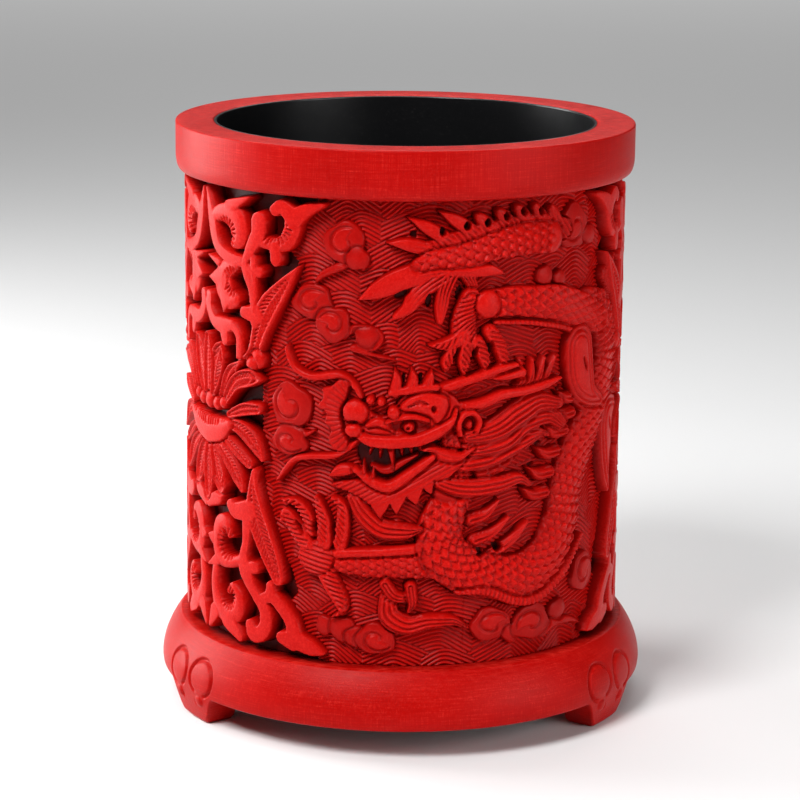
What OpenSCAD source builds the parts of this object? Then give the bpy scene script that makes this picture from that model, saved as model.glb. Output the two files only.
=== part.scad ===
// Carved red lacquer brush pot: a turned wooden core, lacquered red outside and black inside,
// with carved dragon, cloud and lotus-scroll panels between a plain rim band and a plain base
// band on three short feet.
// Origin: on the pot's axis, in the plane that the feet stand on. The front is -Y.
// Places on the wall are given as [s, z]: s is the arc length in mm along the outside of the
// carving, from the front and positive towards +X, and z is the height above a baseline that lies
// baseline_drop under the base band.

/* [Pot] */
// Overall height, from the feet to the lip
pot_h = 128.5; // [126:0.5:132]
// Outer radius of the rim band
rim_r = 50; // [48:0.5:52]
// Inner radius of the pen well
well_r = 41; // [39.5:0.5:41.5]
// Thickness of the black lacquer lining
lining_t = 0.6; // [0.4:0.1:0.8]
// Thickness of the wooden wall
core_t = 2.6; // [2:0.1:2.8]

/* [Bands] */
// Height of the plain rim band
rim_band_h = 10.5; // [10:0.5:11.5]
// Thickness of the rim band's lip over the core
lip_t = 2.4; // [1.5:0.1:3]
// Height of the base band's top edge above the feet
base_top = 18.5; // [18:0.1:19]
// Largest radius of the base band
base_r = 53.7; // [53:0.1:55]

/* [Carving] */
// Depth from the top of the carving to its ground
relief_t = 2.7; // [2:0.1:2.9]
// How far the carving stands back from the rim band
relief_back = 1.8; // [1.5:0.1:2.2]
// Direction of the front lotus panel, in degrees from the front
lotus_left_dir = -61; // [-63:0.5:-59]
// Direction of the other lotus panel, in degrees from the front
lotus_right_dir = 98; // [96:0.5:100]

/* [Feet] */
// Height of the feet under the base band
foot_h = 6.5; // [6:0.25:7]
// Width of a foot where it meets the base band
foot_w = 19; // [18:0.5:21]
// Width of the flat face that a foot stands on
foot_pad_w = 9; // [7:0.5:10]

/* [Hidden] */
$fn = 96;

relief_r = rim_r - relief_back;     // outside of the carving
ground_r = relief_r - relief_t;     // bottom of the carving
lining_r = well_r + lining_t;       // outside of the lining, inside of the core
core_r = lining_r + core_t;         // outside of the core, inside of both bands
rim_bottom = pot_h - rim_band_h;
baseline_drop = 8.25;
baseline_z = foot_h - baseline_drop;
underside_z = foot_h + 0.5;         // the underside panel sits just inside the base band
panel_t = 1;                        // thickness of the underside panel
floor_t = 4;                        // thickness of the wooden floor
core_z = underside_z + panel_t;
well_z = core_z + floor_t + lining_t;
mid_z = (base_top + rim_bottom) / 2 - baseline_z; // middle of the carving, above the baseline
rear_s = PI * relief_r;             // arc from the front dragon to the rear one

// Front dragon, as [s, z, width] from point to point along each part of it
tail = [[6, 108, 5], [20, 110, 7], [33, 111, 7]];
tail_fins = [[-9, 100, 4], [1, 103.5, 7], [12, 104.5, 5]];
hind_leg = [[14, 94, 7], [24, 97, 6.5], [38, 96, 8], [48, 92, 9]];
body = [[48, 92, 9], [56, 84, 10], [52, 72, 10.5], [42, 59, 11], [37, 45, 11.5], [24, 39, 10.5],
        [11, 44, 11], [10, 54, 10]];
foreleg = [[11, 44, 8], [-2, 43, 6.5], [-18, 43, 7]];
head = [[12, 72, 11], [3, 74, 12.5], [-11, 75, 7]];
jaw = [[12, 66, 7], [2, 60, 8.5], [-9, 62, 4]];
mane = [[12, 72, 11], [24, 73, 9.5], [35, 74.5, 6]];
beard = [[12, 66, 7], [22, 63, 8.5], [31, 66.5, 5]];
whisker_high = [[-11, 79, 2], [-18, 82.5, 2.2], [-26, 87, 1.8]];
whisker_low = [[-11, 69, 1.8], [-19, 65, 2], [-28.5, 58.5, 1.6]];
claw_roots = [[-18, 43], [14, 94]];                  // the foreleg's and the hind leg's feet
claw_turns = [[75, 125, 290], [230, 265, 305]];
claw_len = 12;
claw_w = 4;

// Cloud scrolls as [s, z, radius]; each is one rounded lobe
cloud_lobes = [[-13, 109.5, 4.8], [-20, 98, 4.8], [-15, 93.5, 4.6], [-8, 91, 3], [-26, 75, 5.4],
               [-26, 67.5, 5], [-14, 27.5, 4.4], [-6, 26.5, 4.6], [20, 28.5, 5], [31, 28, 5.4],
               [39, 27.5, 4], [42, 112, 5], [31, 84, 3], [49, 35, 4.6]];
rear_cloud_lobes = [[-34, 76, 5.4], [-40, 64, 5], [-33, 44, 5], [64, 98, 5.2], [70, 84, 5],
                    [66, 50, 5.2], [60, 30, 4.6]];

// Half of a lotus panel, as [u, v, width] from the panel's centre
lotus_stem = [[3, 47, 3], [2, 36, 3], [4, 24, 3], [2, 12, 4]];
lotus_leaf = [[26, 34, 3], [20, 22, 6], [15, 12, 5]];
lotus_corner = [[31, 48, 2.5], [24, 42, 6], [18, 36, 5], [20, 47, 3]];
lotus_curls = [[10, 41, 4.4], [9, 29, 4.4]];         // [u, v, radius]
curl_w = 3;
petal_turns = [5, 30, 55, 80];
petal_from = 7;
petal_len = 15;
petal_w = 5;

foot_dirs = [-60, 60, 180];         // left, right and rear foot, in degrees from the front

// A 2D shape carried to the wall at [s, z] and driven outwards through the carving
module on_wall(s, z, turn = 0) {
    rotate([0, 0, s / relief_r * 180 / PI])
        translate([0, -core_r, z + baseline_z])
            rotate([90, 0, 0])
                linear_extrude(height = rim_r - core_r)
                    rotate(turn) children();
}

// The layer that all raised carving is cut from
module relief_layer() {
    difference() {
        translate([0, 0, base_top]) cylinder(r = relief_r, h = rim_bottom - base_top);
        translate([0, 0, base_top - 1]) cylinder(r = ground_r, h = rim_bottom - base_top + 2);
    }
}

// A strip of carving from point to point on the wall, a little wider where two lengths join
joint_swell = 1.12;
module limb(points, shift = 0) {
    for (p = points) on_wall(p[0] + shift, p[1]) circle(d = p[2] * joint_swell);
    for (i = [1 : len(points) - 1]) {
        a = points[i - 1];
        b = points[i];
        on_wall((a[0] + b[0]) / 2 + shift, (a[1] + b[1]) / 2, atan2(b[1] - a[1], b[0] - a[0]))
            square([norm([b[0] - a[0], b[1] - a[1]]), min(a[2], b[2])], center = true);
    }
}

// One foot's spread toes
module claw(root, turns, shift = 0) {
    for (t = turns)
        on_wall(root[0] + shift, root[1], t) translate([0, -claw_w / 2]) square([claw_len, claw_w]);
}

module dragon(shift = 0) {
    intersection() {
        relief_layer();
        union() {
            for (part = [tail, tail_fins, hind_leg, body, foreleg, head, jaw, mane, beard,
                         whisker_high, whisker_low]) limb(part, shift);
            for (i = [0 : 1]) claw(claw_roots[i], claw_turns[i], shift);
        }
    }
}

// The dragon is cut first, so the clouds stop where it passes over them
module clouds(lobes, shift = 0) {
    difference() {
        intersection() {
            relief_layer();
            union() for (c = lobes) on_wall(c[0] + shift, c[1]) circle(r = c[2]);
        }
        dragon(shift);
    }
}

// Points of the lotus pattern carried to a panel, on one side (m) and one half (n) of it
function placed(points, centre_s, m, n) = [for (p = points) [centre_s + m * p[0], mid_z + n * p[1], p[2]]];

// An open ring of carving round [u, v, radius]
function curl(c) = [for (t = [-150 : 75 : 150]) [c[0] + c[2] * cos(t), c[1] + c[2] * sin(t), curl_w]];

function petal(t) = [[petal_from * cos(t), petal_from * sin(t), petal_w],
                     [petal_len * cos(t), petal_len * sin(t), petal_w / 2]];

// Flower in the middle, with the same scrolls above and below it and on both sides
module lotus_panel(dir) {
    centre_s = dir * PI / 180 * relief_r;
    intersection() {
        relief_layer();
        union() {
            on_wall(centre_s, mid_z) circle(r = petal_from);
            for (m = [-1, 1], n = [-1, 1]) {
                for (part = [lotus_stem, lotus_leaf, lotus_corner]) limb(placed(part, centre_s, m, n));
                for (c = lotus_curls) limb(placed(curl(c), centre_s, m, n));
                for (t = petal_turns) limb(placed(petal(t), centre_s, m, n));
            }
        }
    }
}

// Bulging outer profile of the base band, from its top edge down: an ellipse arc
bulge_from = 35;
bulge_low = foot_h + 1.5;            // height of the band's largest radius
bulge_b = (base_r - relief_r - 0.6) / (1 - sin(bulge_from));
bulge_d = (base_top - bulge_low) / cos(bulge_from);
function bulge(t) = [base_r - bulge_b * (1 - sin(t)), bulge_low + bulge_d * cos(t)];

// Side of the rim band: straight above, curving in towards its lower edge
rim_curve_h = 4;
rim_curve_in = 1.4;
function rim_side(t) = [rim_r - rim_curve_in * (1 - cos(t)), rim_bottom + rim_curve_h * (1 - sin(t))];

module core_tube() {
    color("burlywood") difference() {
        translate([0, 0, core_z]) cylinder(r = core_r, h = pot_h - lip_t - core_z);
        translate([0, 0, core_z - 1]) cylinder(r = lining_r, h = pot_h);
    }
}

module core_floor() {
    color("burlywood") translate([0, 0, core_z]) cylinder(r = lining_r, h = floor_t);
}

module lining_wall() {
    color("black") difference() {
        translate([0, 0, well_z]) cylinder(r = lining_r, h = pot_h - 0.2 - well_z);
        translate([0, 0, well_z - 1]) cylinder(r = well_r, h = pot_h);
    }
}

module lining_floor() {
    color("black") translate([0, 0, well_z - lining_t]) cylinder(r = lining_r, h = lining_t);
}

module rim_band() {
    color("firebrick") rotate_extrude()
        polygon(concat([[core_r, rim_bottom]],
                       [for (t = [90 : -15 : 0]) rim_side(t)],
                       [[rim_r, pot_h - 0.4], [rim_r - 0.4, pot_h], [lining_r, pot_h],
                        [lining_r, pot_h - lip_t], [core_r, pot_h - lip_t]]));
}

module carved_ground() {
    color("darkred") difference() {
        translate([0, 0, base_top]) cylinder(r = ground_r, h = rim_bottom - base_top);
        translate([0, 0, base_top - 1]) cylinder(r = core_r, h = rim_bottom - base_top + 2);
    }
}

module dragon_front() color("crimson") dragon();
module dragon_rear() color("crimson") dragon(rear_s);
module clouds_front() color("indianred") clouds(cloud_lobes);
module clouds_rear() color("indianred") clouds(concat(cloud_lobes, rear_cloud_lobes), rear_s);
module lotus_left() color("red") lotus_panel(lotus_left_dir);
module lotus_right() color("red") lotus_panel(lotus_right_dir);

module base_band() {
    color("firebrick") rotate_extrude()
        polygon(concat([[core_r, foot_h], [core_r, base_top]],
                       [for (t = [bulge_from : 5 : 90]) bulge(t)],
                       [[base_r - 0.5, foot_h]]));
}

// Front outline of a foot: wide under the band, drawn in to the flat pad that it stands on
foot_edge_r = 2.5;
module foot_outline() {
    difference() {
        polygon([[-foot_w / 2, foot_h], [-foot_pad_w / 2 - 1.5, 1.2], [-foot_pad_w / 2, 0],
                 [foot_pad_w / 2, 0], [foot_pad_w / 2 + 1.5, 1.2], [foot_w / 2, foot_h]]);
        for (side = [-1, 1]) translate([side * (foot_w / 2 + 0.6), foot_h - foot_edge_r - 0.4])
            circle(r = foot_edge_r);
    }
}

// Every foot is cut from this ring, which leans in under the base band
module foot_ring() {
    rotate_extrude()
        polygon([[core_r - 1, 0], [base_r - 3, 0], [base_r - 1.7, 1.4], [base_r - 0.8, 4],
                 [base_r - 0.5, foot_h], [core_r - 1, foot_h]]);
}

module foot(dir) {
    color("firebrick") intersection() {
        foot_ring();
        rotate([0, 0, dir]) translate([0, -core_r + 2, 0]) rotate([90, 0, 0])
            linear_extrude(height = base_r) foot_outline();
    }
}

module foot_left() foot(foot_dirs[0]);
module foot_right() foot(foot_dirs[1]);
module foot_rear() foot(foot_dirs[2]);

module underside_panel() {
    color("black") translate([0, 0, underside_z]) cylinder(r = core_r, h = panel_t);
}

core_tube();
core_floor();
lining_wall();
lining_floor();
rim_band();
carved_ground();
dragon_front();
dragon_rear();
clouds_front();
clouds_rear();
lotus_left();
lotus_right();
base_band();
foot_left();
foot_right();
foot_rear();
underside_panel();
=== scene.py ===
import math

import bpy
import numpy as np
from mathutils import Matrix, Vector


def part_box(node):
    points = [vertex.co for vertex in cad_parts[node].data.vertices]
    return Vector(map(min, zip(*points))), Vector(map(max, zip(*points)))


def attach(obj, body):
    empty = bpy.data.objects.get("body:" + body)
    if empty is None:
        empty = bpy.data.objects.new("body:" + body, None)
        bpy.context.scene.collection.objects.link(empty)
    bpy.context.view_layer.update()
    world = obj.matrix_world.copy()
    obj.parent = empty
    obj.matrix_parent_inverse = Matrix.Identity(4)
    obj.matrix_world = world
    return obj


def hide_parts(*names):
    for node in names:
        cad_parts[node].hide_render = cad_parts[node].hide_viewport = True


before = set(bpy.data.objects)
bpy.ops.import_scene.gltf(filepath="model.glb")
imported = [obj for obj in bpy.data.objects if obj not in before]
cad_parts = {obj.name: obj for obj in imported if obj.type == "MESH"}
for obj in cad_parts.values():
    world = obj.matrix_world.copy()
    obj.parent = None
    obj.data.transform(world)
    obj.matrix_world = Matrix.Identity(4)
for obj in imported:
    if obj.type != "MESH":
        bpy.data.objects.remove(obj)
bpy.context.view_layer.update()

# Carving is worked out in mm on the unrolled wall: s runs round the pot from the front, positive
# towards +X, and z runs up from a baseline below the base band. Only the finished meshes are in
# metres.
mm = 0.001


def boxMm(node):
    low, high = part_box(node)
    return [v / mm for v in low], [v / mm for v in high]


rimLow, rimHigh = boxMm("rim_band")
groundLow, groundHigh = boxMm("carved_ground")
baseLow, baseHigh = boxMm("base_band")
liningHigh = boxMm("lining_wall")[1]
floorLow, floorHigh = boxMm("lining_floor")
underLow, underHigh = boxMm("underside_panel")

pot = {
    "rimR": rimHigh[0], "lipZ": rimHigh[2], "rimZ": rimLow[2],
    "drumR": rimHigh[0] - 1.8,                 # outside of the carving
    "groundR": groundHigh[0],                  # ridges of the carved ground
    "backR": underHigh[0] + 0.05,              # back of every carved piece, on the wooden core
    "liningR": liningHigh[0], "wellR": liningHigh[0] - 0.6,
    "baseR": baseHigh[0], "baseZ": baseLow[2], "ledgeZ": baseHigh[2],
}
baseline = baseLow[2] - 8.25                   # where the carving's heights start
wallLow, wallHigh = groundLow[2] - baseline, groundHigh[2] - baseline
midZ = (wallLow + wallHigh) / 2
around = 2 * math.pi * pot["drumR"]
embed = 1.1                                    # how far raised work runs down below the ground's ridges
margin = 1.0                                   # wall worked on around each mark
lotusTurn = {"lotus_left": -61.0, "lotus_right": 98.0}


class Sheet:                                   # one stretch of the unrolled wall, carved as a height map
    def __init__(self, s0, s1, ds, dz):
        self.s = np.linspace(s0, s1, int(round((s1 - s0) / ds)) + 1)
        self.z = np.linspace(wallLow, wallHigh, int(round((wallHigh - wallLow) / dz)) + 1)
        self.h = np.full((len(self.z), len(self.s)), -embed)
        self.cover = np.zeros_like(self.h)

    def window(self, low, high):
        i = np.searchsorted(self.z, [low[1], high[1]])
        j = np.searchsorted(self.s, [low[0], high[0]])
        return slice(i[0], i[1]), slice(j[0], j[1])


class Mark:                                    # where one shape lies: how far inside it each cell is
    def __init__(self, sheet, win):
        self.win = win
        self.sAt, self.zAt = np.meshgrid(sheet.s[win[1]], sheet.z[win[0]])
        self.inside = np.full(self.sAt.shape, -9.0)
        self.across = np.zeros_like(self.sAt)
        self.along = np.zeros_like(self.sAt)
        self.half = np.ones_like(self.sAt)


def smooth(points, spacing=0.5, closed=False):  # a curve through the points, as short straight runs
    p = np.array(points, float)
    if closed:
        p = np.vstack([p[-1], p, p[0], p[1]])
    else:
        p = np.vstack([2 * p[0] - p[1], p, 2 * p[-1] - p[-2]])
    rows = []
    for i in range(1, len(p) - 2):
        a, b, c, d = p[i - 1:i + 3]
        n = max(2, int(np.hypot(*(c - b)[:2]) / spacing))
        t = np.linspace(0, 1, n, endpoint=False)[:, None]
        rows.append(b + 0.5 * ((c - a) * t + (2 * a - 5 * b + 4 * c - d) * t ** 2
                               + (3 * b - a - 3 * c + d) * t ** 3))
    rows.append(p[-2][None])
    rows = np.vstack(rows)
    rows[:, 2:] = np.maximum(rows[:, 2:], 0.15)
    return rows


def stroke(sheet, points):                     # a line of varying width, given as [s, z, width]
    rows = smooth(points)
    reach = rows[:, 2].max() / 2 + margin
    mark = Mark(sheet, sheet.window(rows[:, :2].min(0) - reach, rows[:, :2].max(0) + reach))
    if mark.sAt.size == 0:
        return mark
    s, z = mark.sAt[0], mark.zAt[:, 0]
    length = 0.0
    for a, b in zip(rows[:-1], rows[1:]):
        w = max(a[2], b[2]) / 2 + margin
        j = slice(*np.searchsorted(s, [min(a[0], b[0]) - w, max(a[0], b[0]) + w]))
        i = slice(*np.searchsorted(z, [min(a[1], b[1]) - w, max(a[1], b[1]) + w]))
        ds, dz = s[j][None] - a[0], z[i][:, None] - a[1]
        x, y = b[0] - a[0], b[1] - a[1]
        run = max(math.hypot(x, y), 1e-6)
        t = np.clip((ds * x + dz * y) / run ** 2, 0, 1)
        far = np.hypot(ds - t * x, dz - t * y)
        half = (a[2] + (b[2] - a[2]) * t) / 2
        better = half - far > mark.inside[i, j]
        side = np.sign(x * dz - y * ds)
        for kept, new in ((mark.inside, half - far), (mark.across, side * far),
                          (mark.along, length + t * run), (mark.half, half)):
            kept[i, j] = np.where(better, new, kept[i, j])
        length += run
    mark.half = np.maximum(mark.half, 0.1)
    return mark


def patch(sheet, points):                      # a closed outline, given as [s, z]
    rows = smooth([[s, z, 0.2] for s, z in points], closed=True)
    mark = Mark(sheet, sheet.window(rows[:, :2].min(0) - margin, rows[:, :2].max(0) + margin))
    far = np.full(mark.sAt.shape, 99.0)
    odd = np.zeros(mark.sAt.shape, bool)
    for a, b in zip(rows[:-1], rows[1:]):
        x, y = b[0] - a[0], b[1] - a[1]
        ds, dz = mark.sAt - a[0], mark.zAt - a[1]
        t = np.clip((ds * x + dz * y) / max(x * x + y * y, 1e-9), 0, 1)
        far = np.minimum(far, np.hypot(ds - t * x, dz - t * y))
        if y != 0:
            odd ^= ((a[1] > mark.zAt) != (b[1] > mark.zAt)) & (ds < x * dz / y)
    mark.inside = np.where(odd, far, -far)
    mark.half = np.full_like(far, max(far[odd].max(), 0.5) if odd.any() else 1.0)
    mark.across = np.clip(mark.half - mark.inside, 0, mark.half)
    return mark


def disc(sheet, s, z, rs, rz=None, turn=0.0):
    rz = rz or rs
    reach = max(rs, rz) + margin
    mark = Mark(sheet, sheet.window((s - reach, z - reach), (s + reach, z + reach)))
    c, n = math.cos(math.radians(turn)), math.sin(math.radians(turn))
    x, y = mark.sAt - s, mark.zAt - z
    mark.u, mark.v = (x * c + y * n) / rs, (y * c - x * n) / rz
    rho = np.hypot(mark.u, mark.v)
    mark.inside = (1 - rho) * min(rs, rz)
    mark.half = np.full_like(rho, min(rs, rz))
    mark.across = np.clip(rho, 0, 1) * mark.half
    return mark


# lays one shape over what is carved already, and cuts a narrow moat round it
def lay(sheet, mark, top, crown=0.0, surface=None, ramp=0.42, moat=0.6, moatDepth=0.9, join=False):
    if mark.sAt.size == 0:
        return
    d = mark.inside
    x = np.clip(np.abs(mark.across) / mark.half, 0, 1)
    body = top - crown * x * x
    if surface is not None:
        body = body + surface(mark)
    t = np.clip((d + 0.12) / ramp, 0, 1)
    old, cover = sheet.h[mark.win], sheet.cover[mark.win]
    if join:                                   # grows out of what it touches, with no cut between
        sheet.h[mark.win] = np.maximum(old, body * t - embed * (1 - t))
        sheet.cover[mark.win] = np.maximum(cover, t)
        return
    ditch = np.clip(1 + d / moat, 0, 1) * (d < 0.3) * moatDepth
    old = np.where((cover > 0.9) & (old > -0.2), np.maximum(old - ditch, -0.2), old)
    sheet.h[mark.win] = old * (1 - t) + body * t
    sheet.cover[mark.win] = np.maximum(cover, t)


def step(x, width=0.3):                        # a soft step from 0 to 1, centred on 0
    t = np.clip(x / width + 0.5, 0, 1)
    return t * t * (3 - 2 * t)


# surfaces that the knife leaves, as heights added to a mark's top

def ridge(x):                                  # rounded ridges with narrow cuts between, 0 down to -1
    return -(0.5 + 0.5 * np.cos(2 * math.pi * x)) ** 1.5


def hair(count, depth):
    return lambda m: depth * ridge(m.across / m.half * count / 2 + 0.5 * (count % 2 == 0)
                                   + 0.06 * np.sin(m.along * 0.9))


def ribs(pitch, depth):
    return lambda m: depth * ridge(m.along / pitch)


def slant(pitch, slope, depth):
    return lambda m: depth * ridge((m.along + slope * m.across) / pitch)


def hatch(turn, pitch, depth):
    c, n = math.cos(math.radians(turn)), math.sin(math.radians(turn))
    return lambda m: depth * ridge((m.sAt * c + m.zAt * n) / pitch)


def rays(s, z, count, near, far, depth):       # narrow cuts that fan out from a point
    def cut(m):
        angle, r = np.arctan2(m.zAt - z, m.sAt - s), np.hypot(m.sAt - s, m.zAt - z)
        cuts = -(0.5 + 0.5 * np.cos(angle * count)) ** 3
        return depth * cuts * step(r - near) * step(far - r, 0.7)
    return cut


# a raised rim round a cut-back middle with slanting veins
def veined(edge, sink, pitch, slope, depth):
    def cut(m):
        middle = step(m.inside - edge, 0.3)
        rib = step(np.abs(m.across) - 0.22, 0.2)
        near = step(0.75 * m.half - np.abs(m.across), 0.5)
        veins = ridge((m.along - slope * np.abs(m.across)) / pitch)
        return -sink * middle + depth * middle * rib * near * veins
    return cut


def toeHatch(pitch=1.3, depth=0.75):           # short slanting cuts along one side of a toe
    return lambda m: (depth * ridge((m.along - m.across) / pitch)
                      * step(m.across + 0.45 * m.half, 0.5))


def streaks(count, depth, reach):              # cuts that start at the root of a fin and die out
    return lambda m: (depth * ridge(m.across / m.half * count / 2 + 0.5 * (count % 2 == 0))
                      * np.clip(1.15 - m.along / reach, 0, 1))


def scales(size, depth):                       # pointed scales, each tilted up over the next
    def cut(m):
        a, c = m.along / size, m.across / size
        first = np.floor(a)
        out = np.full(a.shape, -1.3)
        done = np.zeros(a.shape, bool)
        for k in (-1, 0, 1):
            row = first + k
            lane = np.round(c - 0.5 * np.mod(row, 2)) + 0.5 * np.mod(row, 2)
            u, v = a - row + 0.15, np.abs(c - lane)
            rho = (np.abs(u * 0.80) ** 1.45 + v ** 1.45) ** (1 / 1.45) / 0.70
            hit = (rho < 1) & ~done
            face = -0.36 + 0.72 * u - 0.6 * v * v - 0.6 * np.clip((rho - 0.80) / 0.2, 0, 1)
            out = np.where(hit, face, out)
            done |= hit
        return depth * out
    return cut


def comma(flip, start, cut=0.62, rise=0.22):   # a soft dome with one curl cut into it
    def carve(m):
        angle = np.mod(flip * np.arctan2(m.v, m.u) - math.radians(start), 2 * math.pi) / (2 * math.pi)
        rho = np.hypot(m.u, m.v)
        bound = 0.80 - 0.62 * angle ** 0.8
        away = (rho - bound) * m.half
        wide = 0.16 + 0.5 * np.sin(math.pi * angle) ** 0.7
        line = np.clip(1 - np.abs(away) / wide, 0, 1) * np.where(away > 0, 1, 0.55) ** 0.5
        return rise * step(-away, 0.9) - cut * line * step(0.93 - angle, 0.12)
    return carve


def meshFrom(name, co, loops, sizes, smoothFaces, material):
    used, loops = np.unique(loops, return_inverse=True)
    co = np.asarray(co)[used]
    mesh = bpy.data.meshes.new(name)
    mesh.vertices.add(len(co))
    mesh.vertices.foreach_set("co", (co * mm).astype(np.float32).ravel())
    mesh.loops.add(len(loops))
    mesh.loops.foreach_set("vertex_index", loops.astype(np.int32).ravel())
    mesh.polygons.add(len(sizes))
    starts = np.concatenate([[0], np.cumsum(sizes)[:-1]])
    mesh.polygons.foreach_set("loop_start", starts.astype(np.int32))
    mesh.polygons.foreach_set("use_smooth", smoothFaces.astype(bool))
    mesh.update(calc_edges=True)
    piece = bpy.data.objects.new(name, mesh)
    bpy.context.scene.collection.objects.link(piece)
    mesh.materials.append(material)
    return piece


def carvedSolid(name, s, z, r, keep, material, block=8):
    # the kept cells of a height map, bent round the pot and closed by a plain back and sides
    rows, cols = r.shape
    angle = s[None, :] / pot["drumR"]
    height = np.broadcast_to(z[:, None] + baseline, r.shape)
    front = np.stack([r * np.sin(angle), -r * np.cos(angle), height], -1)
    rb = np.full_like(r, pot["backR"])
    back = np.stack([rb * np.sin(angle), -rb * np.cos(angle), height], -1)
    co = np.concatenate([front.reshape(-1, 3), back.reshape(-1, 3)])
    total = rows * cols
    i, j = np.nonzero(keep)
    a = i * cols + j
    top = np.stack([a, a + 1, a + cols + 1, a + cols], -1)
    # sides: an edge of a kept cell with no kept neighbour
    wide = np.pad(keep, 1)
    sides = []
    for (di, dj), (p, q) in (((-1, 0), (0, 1)), ((0, 1), (1, 2)), ((1, 0), (2, 3)), ((0, -1), (3, 0))):
        e = top[~wide[i + 1 + di, j + 1 + dj]]
        sides.append(np.stack([e[:, q], e[:, p], e[:, p] + total, e[:, q] + total], -1))
    # back: whole blocks of cells are one face each, the rest are single cells
    br, bc = (rows - 1) // block, (cols - 1) // block
    whole = keep[:br * block, :bc * block].reshape(br, block, bc, block).all((1, 3))
    covered = np.zeros_like(keep)
    covered[:br * block, :bc * block] = np.kron(whole, np.ones((block, block), bool))
    i, j = np.nonzero(keep & ~covered)
    a = i * cols + j + total
    single = np.stack([a + cols, a + cols + 1, a + 1, a], -1)
    wideBlocks = np.pad(whole, 1)
    many, manySizes = [], []
    run = np.arange(block)
    for bi, bj in zip(*np.nonzero(whole)):
        i0, j0 = bi * block, bj * block
        path = []
        for (di, dj), line in (((-1, 0), i0 * cols + j0 + run), ((0, 1), (i0 + run) * cols + j0 + block),
                               ((1, 0), (i0 + block) * cols + j0 + block - run),
                               ((0, -1), (i0 + block - run) * cols + j0)):
            path.extend(line[:1] if wideBlocks[bi + 1 + di, bj + 1 + dj] else line)
        many.extend(total + v for v in reversed(path))
        manySizes.append(len(path))
    flat = [top] + sides + [single]
    loops = np.concatenate([f.ravel() for f in flat] + [np.array(many, int)])
    quads = sum(len(f) for f in flat)
    sizes = np.concatenate([np.full(quads, 4), np.array(manySizes, int)])
    soft = np.zeros(len(sizes), bool)
    soft[:len(top)] = True
    return meshFrom(name, co, loops, sizes, soft, material)


def carvedFromSheet(name, sheet, material, shift=0.0):
    r = pot["groundR"] + sheet.h
    high = np.maximum.reduce([sheet.h[:-1, :-1], sheet.h[1:, :-1], sheet.h[:-1, 1:], sheet.h[1:, 1:]])
    return carvedSolid(name, sheet.s + shift, sheet.z, r, high > -embed + 0.15, material)


def lathe(name, profile, material, segments=384, wobble=None):
    # a closed outline of [r, z] turned round the pot's axis; points at r = 0 close on the axis
    p = np.array(profile, float)
    n = len(p)
    angle = np.arange(segments) * 2 * math.pi / segments
    r = np.repeat(p[:, 0][None], segments, 0)
    z = np.repeat(p[:, 1][None], segments, 0)
    if wobble is not None:
        r, z = wobble(angle[:, None], r, z)
    co = np.stack([r * np.sin(angle)[:, None], -r * np.cos(angle)[:, None], z], -1).reshape(-1, 3)
    i = np.arange(segments)[:, None]
    j = np.arange(n)[None]
    a, b = i * n + j, ((i + 1) % segments) * n + j
    c, d = ((i + 1) % segments) * n + (j + 1) % n, i * n + (j + 1) % n
    quads = np.stack([a, b, c, d], -1).reshape(-1, 4)
    onAxis = p[:, 0] < 1e-6
    if onAxis.any():
        first = {k: k for k in np.nonzero(onAxis)[0]}
        quads = quads.reshape(segments, n, 4)
        faces = []
        for k in range(n):
            nxt = (k + 1) % n
            if onAxis[k] and onAxis[nxt]:
                continue
            for q in quads[:, k]:
                q = list(q)
                if onAxis[k]:
                    q = [first[k], q[2], q[3]]
                elif onAxis[nxt]:
                    q = [q[0], q[1], first[nxt]]
                faces.append(q)
        loops = np.concatenate([np.array(f) for f in faces])
        sizes = np.array([len(f) for f in faces])
    else:
        loops, sizes = quads.ravel(), np.full(len(quads), 4)
    return meshFrom(name, co, loops, sizes, np.ones(len(sizes), bool), material)


class Wire:                                    # a value in a material that can be added to and so on
    def __init__(self, finish, socket):
        self.finish, self.socket = finish, socket

    def math(self, operation, a, b):
        return self.finish.add("ShaderNodeMath", {"operation": operation}, {0: a, 1: b})

    def __add__(self, other):
        return self.math("ADD", self, other)

    def __radd__(self, other):
        return self.math("ADD", other, self)

    def __sub__(self, other):
        return self.math("SUBTRACT", self, other)

    def __rsub__(self, other):
        return self.math("SUBTRACT", other, self)

    def __mul__(self, other):
        return self.math("MULTIPLY", self, other)

    def __rmul__(self, other):
        return self.math("MULTIPLY", other, self)

    def clamp(self):
        return self.finish.add("ShaderNodeClamp", {}, {0: self})


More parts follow.
